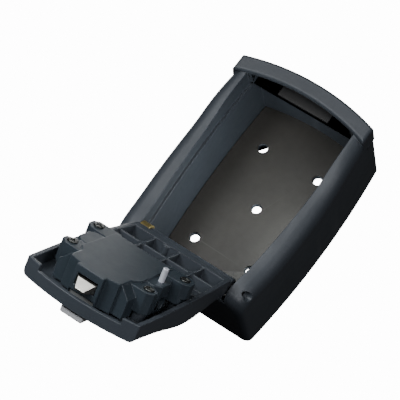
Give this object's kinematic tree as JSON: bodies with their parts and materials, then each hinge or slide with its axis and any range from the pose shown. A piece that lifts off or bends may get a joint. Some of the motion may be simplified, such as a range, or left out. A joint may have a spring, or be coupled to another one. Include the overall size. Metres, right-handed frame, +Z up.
{
  "type": "key lock box",
  "caption": "Wall-mounted key lock box with a curved cast housing, a drop-down door that carries a combination lock with number wheels, a spring latch and a release slide.",
  "frame": {"origin": "centre of the wall screw pattern on the back face", "axes": "+Z up, +Y into the wall, the door side faces -Y"},
  "size_m": [0.1046, 0.1552, 0.2262],
  "materials": {
    "cast_slate": "satin powder coat",
    "back_plate": "matt",
    "cover_plastic": "fine grain",
    "black_plastic": "fine grain",
    "black_screw": "blackened",
    "zinc_steel": "zinc plated",
    "yellow_zinc": "yellow passivated",
    "latch_nickel": "nickel plated",
    "carriage_zinc": "as cast",
    "knob_chrome": "satin chrome",
    "pin_steel": "ground",
    "wheel_white": "satin"
  },
  "bodies": {
    "housing": {"housing": "cast_slate", "back_plate": "back_plate", "strike_plate": "back_plate", "strike_screws": "zinc_steel", "hinge_pin": "zinc_steel", "hinge_bush": "yellow_zinc"},
    "door": {"door_shell": "cast_slate", "number_window": "black_plastic", "mechanism_cover": "cover_plastic", "cover_screws": "black_screw", "wheel_axle": "zinc_steel", "axle_washer": "yellow_zinc", "detent_spring": "zinc_steel", "latch_spring": "zinc_steel", "code_spring": "zinc_steel"},
    "latch": {"latch_bolt": "latch_nickel"},
    "release_slide": {"slider_carriage": "carriage_zinc", "release_knob": "knob_chrome", "knob_screws": "zinc_steel"},
    "wheel_1": {"number_wheel_1": "wheel_white", "code_cam_1": "yellow_zinc"},
    "wheel_2": {"number_wheel_2": "wheel_white", "code_cam_2": "yellow_zinc"},
    "wheel_3": {"number_wheel_3": "wheel_white", "code_cam_3": "yellow_zinc"},
    "wheel_4": {"number_wheel_4": "wheel_white", "code_cam_4": "yellow_zinc"},
    "code_pin": {"code_pin": "pin_steel", "code_pin_clip": "zinc_steel"}
  },
  "joints": [
    {"name": "door_hinge", "type": "hinge", "parent": "housing", "child": "door", "pos_m": [0, -0.0515, -0.0655], "axis": [-1, 0, 0], "range_deg": [0, 131]},
    {"name": "release_slide", "type": "slide", "parent": "door", "child": "release_slide", "axis": [0, 0.7547, 0.6561], "range_m": [0, 0.0055], "stiffness_N_per_m": 300, "springref_m": -0.004},
    {"name": "latch_slide", "type": "slide", "parent": "door", "child": "latch", "axis": [0, 0.7547, 0.6561], "range_m": [0, 0.0055], "stiffness_N_per_m": 200, "springref_m": -0.004, "deforming": ["latch_spring"]},
    {"name": "wheel_1_turn", "type": "hinge", "parent": "door", "child": "wheel_1", "pos_m": [-0.0129, -0.10715, -0.11123], "axis": [1, 0, 0], "continuous": true},
    {"name": "wheel_2_turn", "type": "hinge", "parent": "door", "child": "wheel_2", "pos_m": [-0.0043, -0.10715, -0.11123], "axis": [1, 0, 0], "continuous": true},
    {"name": "wheel_3_turn", "type": "hinge", "parent": "door", "child": "wheel_3", "pos_m": [0.0043, -0.10715, -0.11123], "axis": [1, 0, 0], "continuous": true},
    {"name": "wheel_4_turn", "type": "hinge", "parent": "door", "child": "wheel_4", "pos_m": [0.0129, -0.10715, -0.11123], "axis": [1, 0, 0], "continuous": true},
    {"name": "code_pin_press", "type": "slide", "parent": "door", "child": "code_pin", "axis": [0, 0.6561, -0.7547], "range_m": [0, 0.003], "stiffness_N_per_m": 400, "springref_m": -0.002, "deforming": ["code_spring"]}
  ],
  "couplings": [
    {"joint": "latch_slide", "follows": "release_slide", "ratio": 1}
  ]
}
